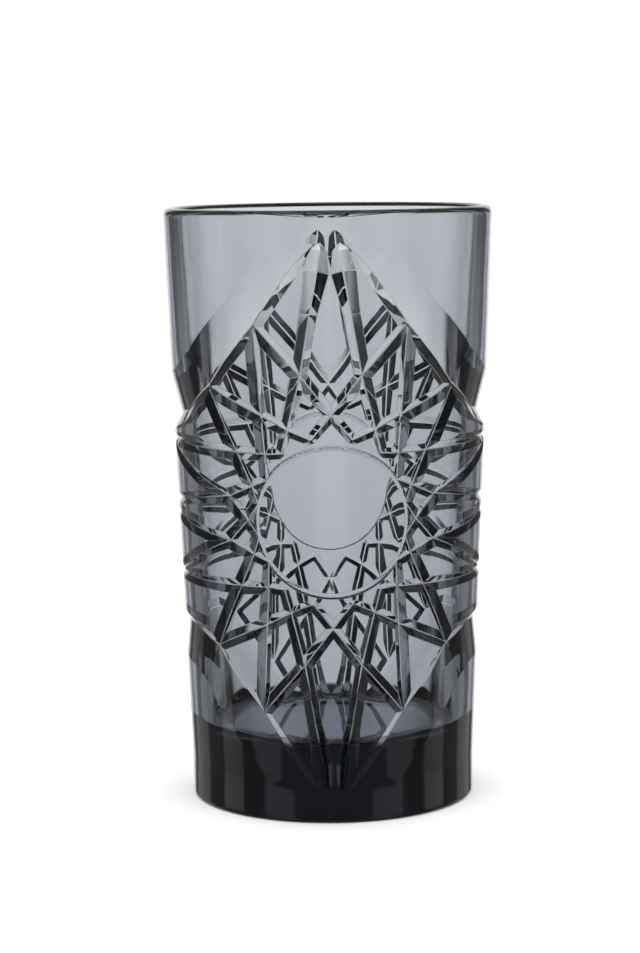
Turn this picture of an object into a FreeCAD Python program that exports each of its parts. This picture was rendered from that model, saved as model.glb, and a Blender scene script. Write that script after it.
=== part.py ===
import FreeCAD
import Part
import math
import os

# Tall tumbler of pressed smoke-grey glass, with a sixteen-point star medallion on its front and its
# back. The glass is one casting. It is held here as its foot, wall and rim, which meet face to face.
# Millimetres, +Z up, origin at the centre of the foot's underside, medallions facing -Y and +Y.
# The star is set out on the wall unrolled flat: "across" is the way round the wall from the
# medallion's centre line, and "up" is the height above the medallion's centre.

Vec = FreeCAD.Vector

# Overall size
HEIGHT = 149.0
RIM_RADIUS = 41.0            # outside of the wall just under the lip
FOOT_RADIUS = 35.8
FOOT_BAND_TOP = 10.0         # the foot is a straight band up to here, and the wall flares above it
FOOT_EDGE_RADIUS = 1.2
WALL_AT_LIP = 3.4
WALL_AT_FLOOR = 4.9
FLOOR_HEIGHT = 17.5          # solid glass under the inside
FLOOR_CORNER_RADIUS = 4.0
LIP_HEIGHT = WALL_AT_LIP / 2

# Heights where the glass is divided into solids
FOOT_TOP = 17.0
RIM_BOTTOM = 144.0

# Medallion
CENTRE_HEIGHT = 74.5
QUARTER = 60.0               # a quarter of the way round the wall
DISC_RADIUS = 18.2
DISC_CURVE_RADIUS = 42.0     # the disc is a little flatter than the wall
DISC_DEPTH = 0.7             # the disc's middle lies this far under the wall
GROOVE_SLOPE = math.tan(math.radians(36))
PEAK_DEPTHS = (1.2, 2.0, 1.3)    # the two grooves at the peak, down from their top
TIP_DEPTH = 1.3              # the other grooves, at the star's points
OUTER_DEPTH = 1.25           # and where they cross, from the outer ring inwards
INNER_DEPTH = 0.95
DISC_RING_DEPTH = 0.8
SHOULDER_WIDTH = 8.4         # the long bevel outside the medallion's edge
FLANK_WIDTH = 2.5            # the steep side of the same cut, towards the star
EDGE_DEPTHS_TOP = (0.3, 1.8, 2.1, 2.3)
EDGE_DEPTHS_BOTTOM = (0.3, 1.3, 1.4, 1.5)

# Star points and the rings where grooves cross, as (across, up) in the upper right quarter
APEX = (2.4, 65.2)
PEAK_FLARE = (3.1, 60.0)     # the two grooves at the peak are widest here
PEAK_NECK = (4.9, 50.0)
EDGE_APEX = (4.0, 68.0)
POINT_A = (19.1, 47.7)
POINT_B = (34.3, 32.4)
SIDE_HIGH = (62.0, 17.0)
SIDE_MID = (62.0, 1.5)
SIDE_EDGE_TOP = (64.0, 21.5)
SIDE_EDGE_BOTTOM = (64.0, 27.5)
OUTER_RING = ((7.4, 35.3), (17.5, 25.6), (24.9, 16.5), (27.9, 5.5))
INNER_RING = ((0.0, 26.0), (10.7, 22.3), (16.7, 16.3), (20.5, 8.3), (21.9, 0.0))
DISC_RING = ((5.0, 20.0), (12.2, 16.6), (16.3, 10.0), (18.8, 4.0))

# Cutters
CLEARANCE = 1.2              # how far a cutter stands out of the wall
OVERSIZE = 1.5               # an edge cutter is this much wider than its cut, so that it comes out of the glass
LONGEST_CHORD = 6.0          # a cutter bends at least this often on its way round the wall

FLARE = (RIM_RADIUS - FOOT_RADIUS) / (HEIGHT - LIP_HEIGHT - FOOT_BAND_TOP)


def wall_radius(z):
    """Outside radius of the smooth wall at a height."""
    return FOOT_RADIUS + FLARE * max(0.0, z - FOOT_BAND_TOP)


def on_wall(across, up, lift):
    """A place on the unrolled medallion as a point of the glass, raised off the wall by lift."""
    z = CENTRE_HEIGHT + up
    turn = across / QUARTER * math.pi / 2
    radius = wall_radius(z) + lift
    return Vec(radius * math.sin(turn), -radius * math.cos(turn), z)


def corner_arc(x, z, radius, start, end):
    """A quarter-round corner about (x, z), from one angle in degrees to another."""
    spots = []
    for angle in (start, (start + end) / 2, end):
        turn = math.radians(angle)
        spots.append(Vec(x + radius * math.cos(turn), 0, z + radius * math.sin(turn)))
    return Part.Arc(*spots).toShape()


def line(x0, z0, x1, z1):
    return Part.LineSegment(Vec(x0, 0, z0), Vec(x1, 0, z1)).toShape()


def uncut_glass():
    """Outside, lip, inside and floor, turned about the glass's axis."""
    lip_z = HEIGHT - LIP_HEIGHT
    foot_flat = FOOT_RADIUS - FOOT_EDGE_RADIUS
    mouth = RIM_RADIUS - WALL_AT_LIP
    inside = wall_radius(FLOOR_HEIGHT) - WALL_AT_FLOOR
    floor_flat = inside - FLOOR_CORNER_RADIUS
    floor_side = FLOOR_HEIGHT + FLOOR_CORNER_RADIUS
    outline = Part.Wire([
        line(0, 0, foot_flat, 0),
        corner_arc(foot_flat, FOOT_EDGE_RADIUS, FOOT_EDGE_RADIUS, -90, 0),
        line(FOOT_RADIUS, FOOT_EDGE_RADIUS, FOOT_RADIUS, FOOT_BAND_TOP),
        line(FOOT_RADIUS, FOOT_BAND_TOP, RIM_RADIUS, lip_z),
        corner_arc(RIM_RADIUS - LIP_HEIGHT, lip_z, LIP_HEIGHT, 0, 180),
        line(mouth, lip_z, inside, floor_side),
        corner_arc(floor_flat, floor_side, FLOOR_CORNER_RADIUS, 0, -90),
        line(floor_flat, FLOOR_HEIGHT, 0, FLOOR_HEIGHT),
        line(0, FLOOR_HEIGHT, 0, 0),
    ])
    return Part.Face(outline).revolve(Vec(0, 0, 0), Vec(0, 0, 1), 360)


def divided(route, depths):
    """The route's places and depths, with more of them where it runs round the wall."""
    places = [(*route[0], depths[0])]
    for start, end, depth, next_depth in zip(route, route[1:], depths, depths[1:]):
        count = max(1, math.ceil(abs(end[0] - start[0]) / LONGEST_CHORD))
        for step in range(1, count + 1):
            part = step / count
            across = start[0] + (end[0] - start[0]) * part
            up = start[1] + (end[1] - start[1]) * part
            places.append((across, up, depth + (next_depth - depth) * part))
    return places


def triangle(a, b, c):
    return Part.Face(Part.makePolygon([a, b, c, a]))


def cutter(route, depths, profile):
    """A cutter along a route, whose profile gives offsets to the left and heights off the wall."""
    places = divided(route, depths)
    sections = []
    for index, (across, up, depth) in enumerate(places):
        before = places[max(index - 1, 0)]
        after = places[min(index + 1, len(places) - 1)]
        run = math.hypot(after[0] - before[0], after[1] - before[1])
        left = (-(after[1] - before[1]) / run, (after[0] - before[0]) / run)
        sections.append([on_wall(across + left[0] * offset, up + left[1] * offset, lift)
                         for offset, lift in profile(depth)])
    faces = []
    for end in (sections[0], sections[-1]):
        faces += [triangle(end[0], b, c) for b, c in zip(end[1:], end[2:])]
    count = len(sections[0])
    for near, far in zip(sections, sections[1:]):
        for a in range(count):
            b = (a + 1) % count
            faces.append(triangle(near[a], near[b], far[b]))
            faces.append(triangle(near[a], far[b], far[a]))
    shell = Part.Shell(faces)
    shell.sewShape()
    solid = Part.Solid(shell)
    if solid.Volume < 0:
        solid.reverse()
    return solid


def groove_profile(depth):
    """An even V that stands out of the wall by its own depth."""
    half_width = 2 * depth / GROOVE_SLOPE
    return ((half_width, depth), (0, -depth), (-half_width, depth))


def edge_profile(full_depth, outside):
    """Long and shallow outside, steep towards the star, and narrower where it is shallow."""
    def profile(depth):
        spread = min(1.0, depth / full_depth)
        shoulder = SHOULDER_WIDTH * spread
        flank = FLANK_WIDTH * spread
        top = CLEARANCE + depth
        rise = depth * (OVERSIZE - 1)
        halfway = (rise - depth) / 2
        spots = (
            (OVERSIZE * shoulder / 2, top),
            (OVERSIZE * shoulder, top),
            (OVERSIZE * shoulder, rise),
            (OVERSIZE * shoulder / 2, halfway),
            (0, -depth),
            (-OVERSIZE * flank, rise),
            (-OVERSIZE * flank, top),
        )
        return [(offset * outside, lift) for offset, lift in spots]
    return profile


def lower(route):
    """The same route in the medallion's lower half."""
    return [(across, -up) for across, up in route]


def star_routes():
    """Routes of the grooves that start at the star's points in the upper right quarter."""
    return (
        (APEX, PEAK_FLARE, PEAK_NECK, OUTER_RING[0], INNER_RING[1], DISC_RING[1]),
        (POINT_A, OUTER_RING[0], INNER_RING[0]),
        (POINT_A, OUTER_RING[1], INNER_RING[2], DISC_RING[2]),
        (POINT_B, OUTER_RING[1], INNER_RING[1], DISC_RING[0]),
        (POINT_B, OUTER_RING[2], INNER_RING[3], DISC_RING[3]),
        (SIDE_HIGH, OUTER_RING[2], INNER_RING[2], DISC_RING[1]),
        (SIDE_HIGH, OUTER_RING[3], INNER_RING[4]),
        (SIDE_MID, OUTER_RING[3], INNER_RING[3], DISC_RING[2]),
    )


def star_grooves():
    """The V-shaped grooves in the right half of one medallion."""
    cutters = []
    for route in star_routes():
        start = PEAK_DEPTHS if route[0] == APEX else (TIP_DEPTH,)
        rings = (OUTER_DEPTH, INNER_DEPTH, DISC_RING_DEPTH)[:len(route) - len(start)]
        depths = start + rings
        for half in (route, lower(route)):
            cutters.append(cutter(half, depths, groove_profile))
    return cutters


def edge_cuts():
    """The cut along the medallion's right edge, steep towards the star and shallow outside it."""
    top = (EDGE_APEX, POINT_A, POINT_B, SIDE_EDGE_TOP)
    bottom = lower((EDGE_APEX, POINT_A, POINT_B, SIDE_EDGE_BOTTOM))
    return [
        cutter(top, EDGE_DEPTHS_TOP, edge_profile(EDGE_DEPTHS_TOP[1], 1)),
        cutter(bottom, EDGE_DEPTHS_BOTTOM, edge_profile(EDGE_DEPTHS_BOTTOM[1], -1)),
    ]


def disc_cut():
    """What is cut away over the medallion's disc, down to a surface a little flatter than the wall."""
    up = Vec(0, -FLARE, 1).normalize()
    out = Vec(0, -1, -FLARE).normalize()
    middle = on_wall(0, 0, -DISC_DEPTH)
    reach = DISC_CURVE_RADIUS
    core = Part.makeCylinder(reach, 2 * reach, middle - out * reach - up * reach, up)
    plug = Part.makeCylinder(DISC_RADIUS, reach, middle - out * (reach / 2), out)
    return plug.cut(core)


def box(low, high):
    return Part.makeBox(high[0] - low[0], high[1] - low[1], high[2] - low[2], Vec(*low))


def cut_quarter():
    """The quarter of the glass from the front medallion's middle line to the right side."""
    reach = 2 * RIM_RADIUS
    quarter = uncut_glass().common(box((0, -reach, -1), (reach, 0, HEIGHT + 1)))
    grooves = star_grooves()
    over_the_middle = [tool.mirror(Vec(0, 0, 0), Vec(1, 0, 0)) for tool in grooves]
    over_the_middle = [tool for tool in over_the_middle if tool.BoundBox.XMax > 0]
    return quarter.cut(grooves + over_the_middle + edge_cuts()).cut(disc_cut())


def whole_zone(quarter, bottom, top):
    """The glass between two heights, made of its quarter and the quarter's three reflections."""
    reach = 2 * RIM_RADIUS
    right = quarter.common(box((0, -reach, bottom), (reach, 0, top)))
    left = right.mirror(Vec(0, 0, 0), Vec(1, 0, 0))
    front = right.fuse(left)
    back = front.mirror(Vec(0, 0, 0), Vec(0, 1, 0))
    return front.fuse(back).removeSplitter()


def zones():
    """Name, lowest and highest height of each solid of the glass."""
    return (
        ("foot", 0.0, FOOT_TOP),
        ("star_wall", FOOT_TOP, RIM_BOTTOM),
        ("rim", RIM_BOTTOM, HEIGHT),
    )


def main():
    os.makedirs("parts", exist_ok=True)
    quarter = cut_quarter()
    for name, bottom, top in zones():
        zone = whole_zone(quarter, bottom, top)
        print(name, zone.isValid(), len(zone.Solids), len(zone.Faces), round(zone.Volume))
        zone.Solids[0].exportStep(f"parts/{name}.step")


if __name__ == "__main__":
    main()
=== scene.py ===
import math

import bmesh
import bpy
import numpy as np
from bmesh.types import BMFace, BMVert
from mathutils import Matrix, Vector
from mathutils.geometry import delaunay_2d_cdt


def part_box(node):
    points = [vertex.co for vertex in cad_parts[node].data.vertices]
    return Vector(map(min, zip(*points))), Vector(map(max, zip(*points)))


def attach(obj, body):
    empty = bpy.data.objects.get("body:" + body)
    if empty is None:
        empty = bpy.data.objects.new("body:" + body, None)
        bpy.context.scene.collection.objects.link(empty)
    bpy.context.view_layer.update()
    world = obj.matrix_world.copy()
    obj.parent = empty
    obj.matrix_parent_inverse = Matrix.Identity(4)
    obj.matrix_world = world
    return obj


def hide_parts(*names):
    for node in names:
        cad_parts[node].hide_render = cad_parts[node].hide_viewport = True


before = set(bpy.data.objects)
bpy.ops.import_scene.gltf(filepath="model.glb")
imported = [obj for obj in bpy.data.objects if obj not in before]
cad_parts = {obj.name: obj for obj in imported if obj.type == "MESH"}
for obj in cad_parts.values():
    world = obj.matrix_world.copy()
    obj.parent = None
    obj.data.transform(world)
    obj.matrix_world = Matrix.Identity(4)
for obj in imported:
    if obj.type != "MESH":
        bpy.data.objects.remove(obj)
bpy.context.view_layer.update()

# A tall tumbler of pressed smoke-grey glass. The star medallions are set out in millimetres on the
# wall unrolled flat: across is the way round from the medallion's middle line, up the height above
# its centre, and lift the height off the smooth wall. The relief is then rolled onto the flared wall.

MM = 0.001

# ---- The glass, mm ----
RIM_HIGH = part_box("rim")[1] / MM
HEIGHT = RIM_HIGH.z
RIM_RADIUS = RIM_HIGH.x
FOOT_RADIUS = 35.8
FOOT_BAND_TOP = 10.0         # the wall is upright below this
FOOT_EDGE_RADIUS = 1.2
WALL_AT_LIP = 3.4
WALL_AT_FLOOR = 4.9
FLOOR_HEIGHT = 17.5
FLOOR_CORNER_RADIUS = 4.0
LIP_HEIGHT = WALL_AT_LIP / 2
LIP_BOTTOM = HEIGHT - LIP_HEIGHT
FLARE = (RIM_RADIUS - FOOT_RADIUS) / (LIP_BOTTOM - FOOT_BAND_TOP)

# ---- The unrolled wall, mm ----
CENTRE_HEIGHT = 74.5         # the medallion's centre
QUARTER = 60.0               # a quarter of the way round the wall
WALL_LOW = FOOT_EDGE_RADIUS - CENTRE_HEIGHT
WALL_HIGH = LIP_BOTTOM - CENTRE_HEIGHT
MARGIN = 3.0                 # the flat wall is made this much wider than it is used
SLAB_DEPTH = 6.0
CLEARANCE = 1.0              # cutters stand this far out of the wall

# ---- The star, as (across, up) in its upper right quarter ----
APEX = (2.4, 65.2)
PEAK_FLARE = (3.1, 60.0)     # the two grooves at the peak are widest here
PEAK_NECK = (4.9, 50.0)
POINT_A = (19.1, 47.7)
POINT_B = (34.3, 32.4)
SIDE_HIGH = (60.0, 17.0)
SIDE_MID = (60.0, 1.4)
OUTER_RING = ((7.4, 35.3), (17.5, 25.6), (24.9, 16.5), (27.9, 5.5))
INNER_RING = ((0.0, 26.0), (10.7, 22.3), (16.7, 16.3), (20.5, 8.3), (21.9, 0.0))
DISC_RING = ((5.0, 20.0), (12.2, 16.6), (16.3, 10.0), (18.8, 4.0))
DISC_RING_LEFT = (-5.0, 20.0)
DISC_RING_BELOW = (18.8, -4.0)
GROOVE_SLOPE = math.tan(math.radians(36))
GROOVE_FLOOR = 0.14          # half the width of a groove's rounded bottom
RING_DEPTHS = (1.25, 0.95, 0.8)          # at the outer ring, the inner ring and the disc
PEAK_DEPTHS = (1.2, 2.0, 1.3)
TIP_DEPTH = 1.3
SIDE_DEPTH = 0.7
PAST_DISC = 5.0              # cuts further past the disc or the quarter than this are left out
PAST_QUARTER = 4.0

# ---- The cut round the medallion's edge, as (across, up, depth) from the top to the side ----
EDGE_TOP = ((3.6, 66.6, 0.0), (10.0, 60.0, 1.5), (19.1, 47.7, 1.8), (34.3, 32.4, 2.1),
            (46.0, 25.6, 2.2), (60.0, 22.6, 2.2))
EDGE_BOTTOM = ((3.6, 66.6, 0.0), (10.0, 60.0, 1.1), (19.1, 47.7, 1.3), (34.3, 32.4, 1.3),
               (44.0, 29.4, 1.25), (60.0, 28.3, 1.2))
SHOULDER_SLOPE_TOP = 0.22    # the side away from the star
SHOULDER_SLOPE_BOTTOM = 0.13
FLANK_SLOPE = 0.6            # the star's side
MITRE_LIMIT = 0.5

# ---- The disc in the middle of the star, mm ----
DISC_HALF_WIDTH = 19.1
DISC_HALF_HEIGHT = 18.2
DISC_WALL = 0.9
DISC_WALL_SLOPE = math.tan(math.radians(65))
DISC_BEVEL = 0.85
DISC_BEVEL_DROP = 0.25
DISC_CURVE_RADIUS = 42.0
DISC_SINK = 0.35
DISC_SIDES = 96
DISC_REACH = 1.001           # places this little outside the disc's edge are still on it

# ---- How finely the skin is made ----
COLUMNS = 40                 # columns of faces in a quarter
ROW = 4.0                    # height of a row of faces, mm
SOFT_EDGE = 0.1              # the pressed edges are rounded over this width, mm
NARROW = 0.3                 # a face narrower than this has no rounded edge of its own, mm
PLAN_MERGE = 0.004           # places on the plan closer than this are one, mm
SAME_HEIGHT = 0.01           # mm
SAME_PLANE = 0.02            # radians
LEVEL = 0.9999               # upward part of a level face's normal
UPRIGHT = 0.01               # upward part of an upright face's normal, at most
END_SLACK = 0.002            # mm
SEAM_MERGE = 0.003           # mm
MIRROR_MERGE = 0.001         # mm
LIP_STEPS = 14
FLOOR_CORNER_STEPS = 14
FOOT_CORNER_STEPS = 6
WALL_RINGS = (0.005, 0.1, 0.2, 0.3, 0.4, 0.5, 0.6, 0.7, 0.8, 0.9, 0.995)
FLOOR_RINGS = (0.98, 0.75, 0.5, 0.25)
UNDERSIDE_RINGS = (0.98, 0.8, 0.6, 0.4, 0.2)


def wall_radius(z):
    """Outside radius of the smooth wall at a height."""
    return FOOT_RADIUS + FLARE * max(0.0, z - FOOT_BAND_TOP)


# ---- Cutters on the unrolled wall ----

CUTTER_PLANES = []           # for each cutter, its faces as (normal, distance)


def add_hull(mesh, spots):
    """A convex cutter through the spots, which also notes the planes of its faces."""
    verts = [mesh.verts.new(spot) for spot in spots]
    result = bmesh.ops.convex_hull(mesh, input=verts, use_existing_faces=False)
    middle = sum((Vector(spot) for spot in spots), Vector()) / len(spots)
    planes = []
    for face in result["geom"]:
        if isinstance(face, BMFace):
            face.normal_update()
            normal = face.normal
            start = face.verts[0].co
            if normal.dot(middle - start) > 0:
                normal = -normal
            planes.append((*normal, normal.dot(start)))
    CUTTER_PLANES.append(np.array(planes))
    spare = result["geom_interior"] + result["geom_unused"]
    bmesh.ops.delete(mesh, geom=[v for v in spare if isinstance(v, BMVert)], context="VERTS")


def relief_height(across, up):
    """Lift of the cut wall at each place: the lowest of all the cutters' undersides."""
    height = np.zeros(len(across))
    for planes in CUTTER_PLANES:
        x, y, z, distance = planes[planes[:, 2] < -UPRIGHT].T[:, :, None]
        depth = ((distance - x * across - y * up) / z).max(0)
        ends = planes[abs(planes[:, 2]) <= UPRIGHT]
        if len(ends):
            x, y, z, distance = ends.T[:, :, None]
            beyond = (x * across + y * up - distance).max(0) > END_SLACK
            depth = np.where(beyond, 0.0, depth)
        height = np.minimum(height, depth)
    return height


def add_groove(mesh, start, end, depths):
    """One straight V-shaped cut with sloping sides and ends, from start to end on the wall."""
    along = (Vector(end) - Vector(start)).normalized()
    left = Vector((-along.y, along.x))
    spots = []
    for place, depth, outward in ((start, depths[0], -along), (end, depths[1], along)):
        place = Vector(place)
        spread = (depth + CLEARANCE) / GROOVE_SLOPE
        for side in (1, -1):
            spots.append((*(place + left * side * GROOVE_FLOOR), -depth))
            spots.append((*(place + left * side * (GROOVE_FLOOR + spread)), CLEARANCE))
        spots.append((*(place + outward * spread), CLEARANCE))
    add_hull(mesh, spots)


def quarters(route):
    """The route in the medallion's four quarters and in the next medallion's nearest two."""
    for turn in (1, -1):
        for up in (1, -1):
            yield [(x * turn, y * up) for x, y in route]
    for up in (1, -1):
        yield [(2 * QUARTER - x, y * up) for x, y in route]


def in_reach(start, end):
    """Whether a cut comes near the quarter being made."""
    low = min(start[0], end[0])
    high = max(start[0], end[0])
    return high > -DISC_HALF_WIDTH - PAST_DISC and low < QUARTER + PAST_QUARTER


def star_routes():
    """Routes of the grooves from the star's points inwards, each with its depths."""
    outer, inner, disc = OUTER_RING, INNER_RING, DISC_RING
    peak = (*PEAK_DEPTHS, *RING_DEPTHS)
    tip = (TIP_DEPTH, *RING_DEPTHS)
    side = (SIDE_DEPTH, *RING_DEPTHS)
    return (
        ((APEX, PEAK_FLARE, PEAK_NECK, outer[0], inner[1], disc[1]), peak),
        ((POINT_A, outer[0], inner[0], DISC_RING_LEFT), tip),
        ((POINT_A, outer[1], inner[2], disc[2]), tip),
        ((POINT_B, outer[1], inner[1], disc[0]), tip),
        ((POINT_B, outer[2], inner[3], disc[3]), tip),
        ((SIDE_HIGH, outer[2], inner[2], disc[1]), side),
        ((SIDE_HIGH, outer[3], inner[4], DISC_RING_BELOW), side),
        ((SIDE_MID, outer[3], inner[3], disc[2]), side),
    )


def star_cutter():
    """Every groove of the star that reaches the quarter being made."""
    mesh = bmesh.new()
    for route, depths in star_routes():
        for way in quarters(route):
            for start, end, first, last in zip(way, way[1:], depths, depths[1:]):
                if in_reach(start, end):
                    add_groove(mesh, start, end, (first, last))
    return mesh


def edge_section(place, depth, outward, shoulder):
    """The edge cut's section at one place: steep on the star's side and shallow outside."""
    rise = depth + CLEARANCE
    spots = []
    for offset, lift in ((GROOVE_FLOOR, -depth), (-GROOVE_FLOOR, -depth),
                         (GROOVE_FLOOR + rise / shoulder, CLEARANCE),
                         (-GROOVE_FLOOR - rise / FLANK_SLOPE, CLEARANCE)):
        spots.append((*(place + outward * offset), lift))
    return spots


def edge_sections(edge, shoulder):
    """The edge cut's sections at every place of an edge, mitred where it turns."""
    places = [Vector(spot[:2]) for spot in edge]
    runs = [(far - near).normalized() for near, far in zip(places, places[1:])]
    runs = [runs[0]] + runs + [Vector((runs[-1].x, -runs[-1].y))]
    sections = []
    for place, spot, before, after in zip(places, edge, runs, runs[1:]):
        along = (before + after).normalized()
        outward = Vector((-along.y, along.x)) / max(MITRE_LIMIT, along.dot(before))
        sections.append(edge_section(place, spot[2], outward, shoulder))
    return sections


def edge_cutter():
    """The cut round the medallion's edge, and round the next medallion's nearest side."""
    mesh = bmesh.new()
    for edge, shoulder, up in ((EDGE_TOP, SHOULDER_SLOPE_TOP, 1), (EDGE_BOTTOM, SHOULDER_SLOPE_BOTTOM, -1)):
        sections = edge_sections(edge, shoulder)
        for near, far in zip(sections, sections[1:]):
            for middle, turn in ((0, 1), (0, -1), (2 * QUARTER, -1)):
                add_hull(mesh, [(middle + turn * x, y * up, z) for x, y, z in near + far])
    return mesh


def disc_cutter():
    """A round pit with sloping sides, where the disc will be."""
    mesh = bmesh.new()
    spots = []
    spread = (DISC_WALL + CLEARANCE) / DISC_WALL_SLOPE
    for extra, z in ((0, -DISC_WALL), (spread, CLEARANCE)):
        for side in range(DISC_SIDES):
            turn = 2 * math.pi * (side + 0.5) / DISC_SIDES
            x = (DISC_HALF_WIDTH + extra) * math.cos(turn)
            y = (DISC_HALF_HEIGHT + extra) * math.sin(turn)
            spots.append((x, y, z))
    add_hull(mesh, spots)
    return mesh


# ---- The relief ----

def as_object(name, mesh):
    """A new object in the scene that holds the mesh."""
    data = bpy.data.meshes.new(name)
    mesh.to_mesh(data)
    mesh.free()
    obj = bpy.data.objects.new(name, data)
    bpy.context.scene.collection.objects.link(obj)
    return obj


def slab():
    """The flat piece of wall that the relief is cut from."""
    mesh = bmesh.new()
    low = Vector((-DISC_HALF_WIDTH - MARGIN, WALL_LOW, -SLAB_DEPTH))
    high = Vector((QUARTER + MARGIN, WALL_HIGH, 0))
    place = Matrix.Translation((low + high) / 2) @ Matrix.Diagonal((*(high - low), 1))
    bmesh.ops.create_cube(mesh, size=1, matrix=place)
    return as_object("flat_wall", mesh)


def cut_relief():
    """The unrolled quarter with everything cut from it."""
    wall = slab()
    cutters = [as_object("cutter", make()) for make in (star_cutter, edge_cutter, disc_cutter)]
    for cutter in cutters:
        cut = wall.modifiers.new("cut", "BOOLEAN")
        cut.operation = "DIFFERENCE"
        cut.solver = "EXACT"
        cut.use_self = True
        cut.object = cutter
    graph = bpy.context.evaluated_depsgraph_get()
    mesh = bmesh.new()
    mesh.from_mesh(wall.evaluated_get(graph).to_mesh())
    for obj in [wall] + cutters:
        bpy.data.objects.remove(obj)
    return mesh


def flat_mesh(spots, lines):
    """A watertight relief over the plan that the lines draw."""
    plan, _, triangles, _, _, _ = delaunay_2d_cdt(spots, lines, [], 0, PLAN_MERGE)
    heights = relief_height(np.array([p.x for p in plan]), np.array([p.y for p in plan]))
    mesh = bmesh.new()
    verts = [mesh.verts.new((p.x, p.y, z)) for p, z in zip(plan, heights)]
    for corners in triangles:
        mesh.faces.new([verts[corner] for corner in corners])
    mesh.normal_update()
    return mesh


def plan_of(mesh, edges):
    """Plan places of the mesh's vertices, and the edges as pairs of them."""
    mesh.verts.index_update()
    spots = [v.co.xy for v in mesh.verts]
    lines = [(e.verts[0].index, e.verts[1].index) for e in edges]
    return spots, lines


def creased_relief():
    """The relief with an edge along every crease and nowhere else."""
    rough = cut_relief()
    creases = []
    for edge in rough.edges:
        faces_up = any(face.normal.z > SAME_PLANE for face in edge.link_faces)
        if faces_up and all(vert.co.z > -SLAB_DEPTH / 2 for vert in edge.verts):
            creases.append(edge)
    mesh = flat_mesh(*plan_of(rough, creases))
    rough.free()
    bmesh.ops.dissolve_limit(mesh, angle_limit=SAME_PLANE, verts=mesh.verts, edges=mesh.edges)
    return mesh


def at_disc_depth(lift):
    """Whether a height is that of the pit's bottom."""
    return abs(lift + DISC_WALL) < SAME_HEIGHT


def soften(mesh):
    """Narrow strips along every edge, over which the shading turns from face to face."""
    level = [face for face in mesh.faces if face.normal.z > LEVEL]
    pit = [face for face in level if at_disc_depth(face.calc_center_median().z)]
    disc = max(pit, key=lambda face: face.calc_area())
    wide = []
    for face in mesh.faces:
        if face is not disc and 2 * face.calc_area() / face.calc_perimeter() > NARROW:
            wide.append(face)
    bmesh.ops.inset_individual(mesh, faces=wide, thickness=SOFT_EDGE, use_even_offset=True)
    for width in (SOFT_EDGE, DISC_BEVEL - 2 * SOFT_EDGE, SOFT_EDGE, SOFT_EDGE):
        bmesh.ops.inset_individual(mesh, faces=[disc], thickness=width, use_even_offset=True)


def divided(mesh):
    """The relief trimmed to its quarter, and parted into columns and rows so that it can be rolled."""
    spots, lines = plan_of(mesh, mesh.edges)
    cuts = []
    for column in range(COLUMNS + 1):
        x = QUARTER * column / COLUMNS
        cuts.append(((x, WALL_LOW), (x, WALL_HIGH)))
    rows = [row * ROW for row in range(math.ceil(WALL_LOW / ROW), math.floor(WALL_HIGH / ROW) + 1)]
    for row in rows + [FOOT_BAND_TOP - CENTRE_HEIGHT]:
        cuts.append(((-MARGIN, row), (QUARTER + MARGIN, row)))
    for start, end in cuts:
        lines.append((len(spots), len(spots) + 1))
        spots += [Vector(start), Vector(end)]
    parted = flat_mesh(spots, lines)
    mesh.free()
    spare = [face for face in parted.faces if not 0 < face.calc_center_median().x < QUARTER]
    bmesh.ops.delete(parted, geom=spare, context="FACES")
    return parted


def disc_lift(across, up):
    """Lift of the disc and its bevel off the smooth wall. The disc is a little flatter than the wall."""
    radius = wall_radius(CENTRE_HEIGHT + up)
    turn = across / QUARTER * math.pi / 2
    behind = DISC_CURVE_RADIUS - (radius - DISC_SINK)
    reach = math.sqrt(DISC_CURVE_RADIUS ** 2 - (behind * math.sin(turn)) ** 2) - behind * math.cos(turn)
    inward = (1 - math.hypot(across / DISC_HALF_WIDTH, up / DISC_HALF_HEIGHT)) * DISC_HALF_HEIGHT
    return reach - radius - DISC_BEVEL_DROP * max(0.0, 1 - inward / DISC_BEVEL)


def roll(mesh):
    """Raises the disc, then rolls the flat relief onto the wall, in metres."""
    for vert in mesh.verts:
        across, up, lift = vert.co
        on_disc = math.hypot(across / DISC_HALF_WIDTH, up / DISC_HALF_HEIGHT) < DISC_REACH
        if on_disc and at_disc_depth(lift):
            lift = disc_lift(across, up)
        z = CENTRE_HEIGHT + up
        turn = across / QUARTER * math.pi / 2
        radius = wall_radius(z) + lift
        vert.co = Vector((radius * math.sin(turn), -radius * math.cos(turn), z)) * MM


# ---- The plain surfaces ----

def arc(x, z, radius, start, end, steps):
    """Points of a rounded corner about (x, z), from one angle in degrees to another."""
    turns = [math.radians(start + (end - start) * step / steps) for step in range(steps + 1)]
    return [(x + radius * math.cos(turn), z + radius * math.sin(turn)) for turn in turns]


def add_turned(mesh, outline):
    """Rings about the glass's axis, ending in one point on it."""
    count = 4 * COLUMNS
    turns = [2 * math.pi * step / count for step in range(count)]
    rings = []
    for radius, z in outline[:-1]:
        spots = [Vector((radius * math.sin(turn), -radius * math.cos(turn), z)) for turn in turns]
        rings.append([mesh.verts.new(spot * MM) for spot in spots])
    centre = mesh.verts.new((0, 0, outline[-1][1] * MM))
    for a in range(count):
        b = (a + 1) % count
        for near, far in zip(rings, rings[1:]):
            mesh.faces.new((near[a], near[b], far[b], far[a]))
        mesh.faces.new((rings[-1][a], rings[-1][b], centre))


def add_underside(mesh):
    """The foot's rounded edge and its flat underside."""
    flat = FOOT_RADIUS - FOOT_EDGE_RADIUS
    corner = arc(flat, FOOT_EDGE_RADIUS, FOOT_EDGE_RADIUS, 0, -90, FOOT_CORNER_STEPS)
    rings = [(flat * part, 0) for part in UNDERSIDE_RINGS]
    add_turned(mesh, corner + rings + [(0, 0)])


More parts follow.
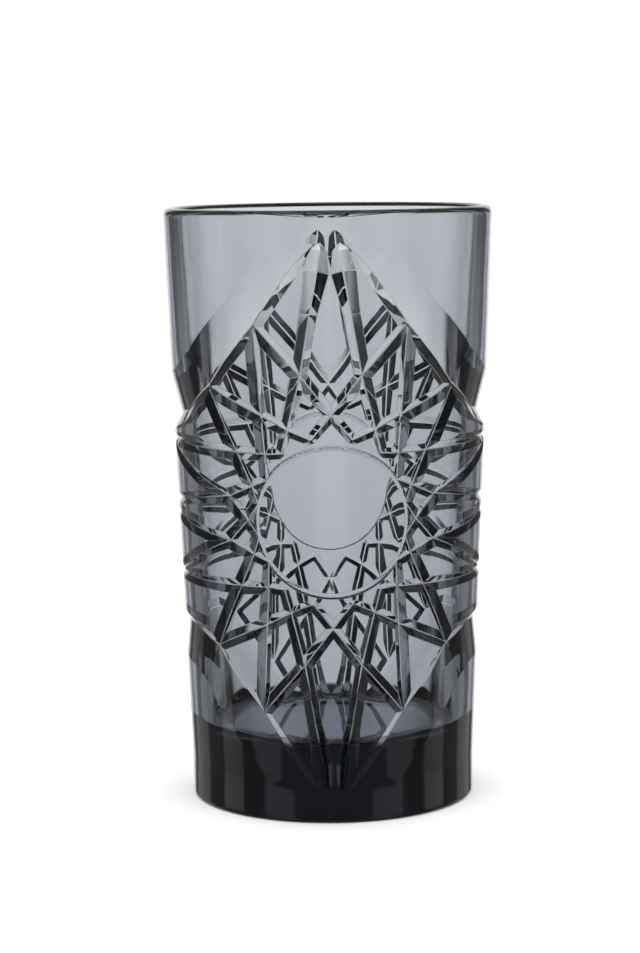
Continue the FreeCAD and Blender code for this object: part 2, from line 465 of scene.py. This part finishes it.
def add_inside(mesh):
    """The rounded lip, the inside of the wall, and the floor with its rounded corner."""
    mouth = RIM_RADIUS - WALL_AT_LIP
    low = wall_radius(FLOOR_HEIGHT) - WALL_AT_FLOOR
    flat = low - FLOOR_CORNER_RADIUS
    floor_side = FLOOR_HEIGHT + FLOOR_CORNER_RADIUS
    lip = arc(RIM_RADIUS - LIP_HEIGHT, LIP_BOTTOM, LIP_HEIGHT, 0, 180, LIP_STEPS)
    wall = []
    for part in WALL_RINGS:
        wall.append((mouth + (low - mouth) * part, LIP_BOTTOM + (floor_side - LIP_BOTTOM) * part))
    corner = arc(flat, floor_side, FLOOR_CORNER_RADIUS, 0, -90, FLOOR_CORNER_STEPS)
    floor = [(flat * part, FLOOR_HEIGHT) for part in FLOOR_RINGS]
    add_turned(mesh, lip + wall + corner + floor + [(0, FLOOR_HEIGHT)])


def tumbler():
    """The whole glass as one closed skin."""
    mesh = creased_relief()
    soften(mesh)
    mesh = divided(mesh)
    roll(mesh)
    for axis in ("X", "Y"):
        half = mesh.verts[:] + mesh.edges[:] + mesh.faces[:]
        bmesh.ops.mirror(mesh, geom=half, matrix=Matrix.Identity(4), axis=axis,
                         merge_dist=MIRROR_MERGE * MM)
    add_underside(mesh)
    add_inside(mesh)
    bmesh.ops.remove_doubles(mesh, verts=mesh.verts, dist=SEAM_MERGE * MM)
    bmesh.ops.recalc_face_normals(mesh, faces=mesh.faces)
    for face in mesh.faces:
        face.smooth = True
    return as_object("tumbler", mesh)


# ---- Materials ----

GLASS_IOR = 1.52             # soda-lime glass
GLASS_TINT = "#70849E"
TINT_DENSITY = 110.0         # per metre
RIPPLE_SPACING = 11.1        # mm
RIPPLE_HEIGHT = 0.05         # mm
MOTTLE_SPACING = 111.0       # mm


def linear(code):
    """An sRGB hex colour as linear red, green, blue and alpha."""
    parts = [int(code[at:at + 2], 16) / 255 for at in (1, 3, 5)]
    return (*[p / 12.92 if p <= 0.04045 else ((p + 0.055) / 1.055) ** 2.4 for p in parts], 1.0)


def add_node(tree, kind, settings=None, inputs=None, stops=()):
    """One node with its settings, its inputs as values or other nodes' outputs, and a ramp's stops."""
    node = tree.nodes.new(kind)
    for name, value in (settings or {}).items():
        setattr(node, name, value)
    for name, value in (inputs or {}).items():
        if isinstance(value, bpy.types.NodeSocket):
            tree.links.new(value, node.inputs[name])
        else:
            node.inputs[name].default_value = value
    for index, (place, colour) in enumerate(stops):
        ramp = node.color_ramp
        ramp.interpolation = "EASE"
        stop = ramp.elements[index] if index < 2 else ramp.elements.new(place)
        stop.position = place
        stop.color = colour
    return node


def new_material(name):
    """An empty node material."""
    material = bpy.data.materials.new(name)
    material.use_nodes = True
    material.node_tree.nodes.clear()
    return material


def smoke_tinted_pressed_glass():
    """Soda-lime glass tinted through with a little grey oxide.

    It was pressed in a mould and then fire-polished, so it is clear and glossy with a faint ripple,
    and it looks darker the more glass lies in the line of sight.
    """
    material = new_material("smoke_tinted_pressed_glass")
    tree = material.node_tree
    place = add_node(tree, "ShaderNodeTexCoord")
    ripple = add_node(tree, "ShaderNodeTexNoise", None, {
        "Scale": 1 / (RIPPLE_SPACING * MM), "Detail": 1.0, "Vector": place.outputs["Object"]})
    bump = add_node(tree, "ShaderNodeBump", None, {
        "Strength": 0.5, "Distance": RIPPLE_HEIGHT * MM, "Height": ripple.outputs["Fac"]})
    glass = add_node(tree, "ShaderNodeBsdfPrincipled", None, {
        "Base Color": linear("#FFFFFF"), "Roughness": 0.0, "IOR": GLASS_IOR,
        "Transmission Weight": 1.0, "Normal": bump.outputs["Normal"]})
    tint = add_node(tree, "ShaderNodeVolumeAbsorption", None, {
        "Color": linear(GLASS_TINT), "Density": TINT_DENSITY})
    add_node(tree, "ShaderNodeOutputMaterial", None, {
        "Surface": glass.outputs["BSDF"], "Volume": tint.outputs["Volume"]})
    return material


def matt_white_board():
    """Rolled and sealed white board: almost no sheen, and a mottle too faint to stand out."""
    material = new_material("matt_white_board")
    tree = material.node_tree
    place = add_node(tree, "ShaderNodeTexCoord")
    mottle = add_node(tree, "ShaderNodeTexNoise", None, {
        "Scale": 1 / (MOTTLE_SPACING * MM), "Vector": place.outputs["Object"]})
    shade = add_node(tree, "ShaderNodeValToRGB", None, {"Fac": mottle.outputs["Fac"]},
                     ((0.0, linear("#FBFBFB")), (1.0, linear("#FFFFFF"))))
    board = add_node(tree, "ShaderNodeBsdfPrincipled", None, {
        "Roughness": 0.9, "Specular IOR Level": 0.1, "Base Color": shade.outputs["Color"]})
    add_node(tree, "ShaderNodeOutputMaterial", None, {"Surface": board.outputs["BSDF"]})
    return material


# ---- Floor, light and camera ----

FLOOR_RADIUS = 0.6           # metres
FLOOR_SIDES = 128
WHITE_ROOM = 1.0             # what the eye sees behind the glass
FLOOR_LIGHT = 1.7            # what lights the floor
PANEL_LIGHT = 1.0            # the brightest panel, as the glass sees it
DARK_CLOTH = 0.008           # between the panels
DIM_ROOM = 0.18              # what the glass mirrors where no panel is

# Lit panels as (from, to, brightness). Turns are in degrees from the back of the glass round to its
# front, the same both ways, and heights are in degrees above level. Ends past the scale are open.
TURN_SCALE = (0.0, 180.0)
HEIGHT_SCALE = (-90.0, 90.0)
BACK_PANEL = (-10.0, 22.0, 1.0)
SIDE_PANEL = (79.0, 101.0, 0.6)
FRONT_PANEL = (165.0, 190.0, 0.7)
LOW_PANELS = ((32.0, 58.0, 0.35), (122.0, 148.0, 0.35))
PANEL_HEIGHTS = ((-18.0, 100.0, 1.0),)
LOW_PANEL_HEIGHTS = ((-46.0, -5.0, 1.0),)
TURN_BLUR = 2.0              # the panels' ends fade over this many degrees to each side
HEIGHT_BLUR = 4.0

CAMERA_PLACE = Vector((-6.76, -645.76, 165.3)) * MM
CAMERA_LENS = 97.06
CAMERA_TURN = math.radians(-0.371)
CAMERA_TILT = math.radians(82.543)
CAMERA_ROLL = math.radians(-0.623)
NEAREST_SEEN = 0.01          # metres
BOUNCES = 32
GLOSSY_BOUNCES = 16


def add_floor():
    """A round white board that the eye sees, but that the glass neither refracts nor mirrors."""
    mesh = bmesh.new()
    bmesh.ops.create_circle(mesh, cap_ends=True, segments=FLOOR_SIDES, radius=FLOOR_RADIUS)
    floor = as_object("floor", mesh)
    floor.data.materials.append(matt_white_board())
    floor.visible_transmission = False
    floor.visible_glossy = False


def soft_spans(spans, scale, blur):
    """Ramp stops that are lit over the spans and dark between them, with soft ends."""
    low, high = scale
    stops = []
    for start, end, light in spans:
        for angle, level in ((start - blur, 0.0), (start + blur, light),
                             (end - blur, light), (end + blur, 0.0)):
            if low <= angle <= high:
                stops.append(((angle - low) / (high - low), (level, level, level, 1.0)))
    return stops


def light_room():
    """A white room for the eye and the floor, and lit panels between dark cloths for the glass."""
    world = bpy.data.worlds.new("studio")
    bpy.context.scene.world = world
    world.use_nodes = True
    tree = world.node_tree
    tree.nodes.clear()
    path = add_node(tree, "ShaderNodeLightPath").outputs
    place = add_node(tree, "ShaderNodeTexCoord")
    way = add_node(tree, "ShaderNodeSeparateXYZ", None, {"Vector": place.outputs["Generated"]}).outputs
    turn = add_node(tree, "ShaderNodeMath", {"operation": "ARCTAN2"}, {0: way["X"], 1: way["Y"]})
    turn = add_node(tree, "ShaderNodeMath", {"operation": "ABSOLUTE"}, {0: turn.outputs[0]})
    turn = add_node(tree, "ShaderNodeMapRange", None, {"Value": turn.outputs[0], "From Max": math.pi})
    height = add_node(tree, "ShaderNodeMath", {"operation": "ARCSINE"}, {0: way["Z"]})
    height = add_node(tree, "ShaderNodeMapRange", None, {
        "Value": height.outputs[0], "From Min": -math.pi / 2, "From Max": math.pi / 2})

    spread = []
    for spans in ((BACK_PANEL, SIDE_PANEL, FRONT_PANEL), (BACK_PANEL, SIDE_PANEL), LOW_PANELS):
        spread.append(add_node(tree, "ShaderNodeValToRGB", None, {"Fac": turn.outputs[0]},
                               soft_spans(spans, TURN_SCALE, TURN_BLUR)))
    stacked = []
    for spans in (PANEL_HEIGHTS, LOW_PANEL_HEIGHTS):
        stacked.append(add_node(tree, "ShaderNodeValToRGB", None, {"Fac": height.outputs[0]},
                                soft_spans(spans, HEIGHT_SCALE, HEIGHT_BLUR)))
    mirrored = path["Is Reflection Ray"]
    high = add_node(tree, "ShaderNodeMix", None, {
        0: mirrored, 2: spread[0].outputs["Color"], 3: spread[1].outputs["Color"]})
    low = add_node(tree, "ShaderNodeMath", {"operation": "MULTIPLY"}, {
        0: spread[2].outputs["Color"], 1: stacked[1].outputs["Color"]})
    panels = add_node(tree, "ShaderNodeMath", {"operation": "MULTIPLY_ADD"}, {
        0: high.outputs[0], 1: stacked[0].outputs["Color"], 2: low.outputs[0]})
    gap = add_node(tree, "ShaderNodeMix", None, {0: mirrored, 2: DARK_CLOTH, 3: DIM_ROOM})
    light = add_node(tree, "ShaderNodeMix", None, {0: panels.outputs[0], 2: gap.outputs[0], 3: PANEL_LIGHT})
    for seen_by, level in ((path["Is Diffuse Ray"], FLOOR_LIGHT), (path["Is Camera Ray"], WHITE_ROOM)):
        light = add_node(tree, "ShaderNodeMix", None, {0: seen_by, 2: light.outputs[0], 3: level})
    room = add_node(tree, "ShaderNodeBackground", None, {
        "Color": linear("#FFFFFF"), "Strength": light.outputs[0]})
    add_node(tree, "ShaderNodeOutputWorld", None, {"Surface": room.outputs["Background"]})


def add_camera():
    """The camera, a little above the rim and looking slightly down."""
    data = bpy.data.cameras.new("camera")
    data.lens = CAMERA_LENS
    data.clip_start = NEAREST_SEEN
    camera = bpy.data.objects.new("camera", data)
    bpy.context.scene.collection.objects.link(camera)
    camera.matrix_world = (Matrix.Translation(CAMERA_PLACE) @ Matrix.Rotation(CAMERA_TURN, 4, "Z")
                           @ Matrix.Rotation(CAMERA_TILT, 4, "X") @ Matrix.Rotation(CAMERA_ROLL, 4, "Z"))
    bpy.context.scene.camera = camera


def main():
    """The glass on its floor, with its light and camera."""
    glass = tumbler()
    glass.data.materials.append(smoke_tinted_pressed_glass())
    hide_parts("foot", "star_wall", "rim")
    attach(glass, "root")
    add_floor()
    light_room()
    add_camera()
    scene = bpy.context.scene
    scene.view_settings.view_transform = "Standard"
    scene.cycles.max_bounces = BOUNCES
    scene.cycles.transmission_bounces = BOUNCES
    scene.cycles.glossy_bounces = GLOSSY_BOUNCES


main()
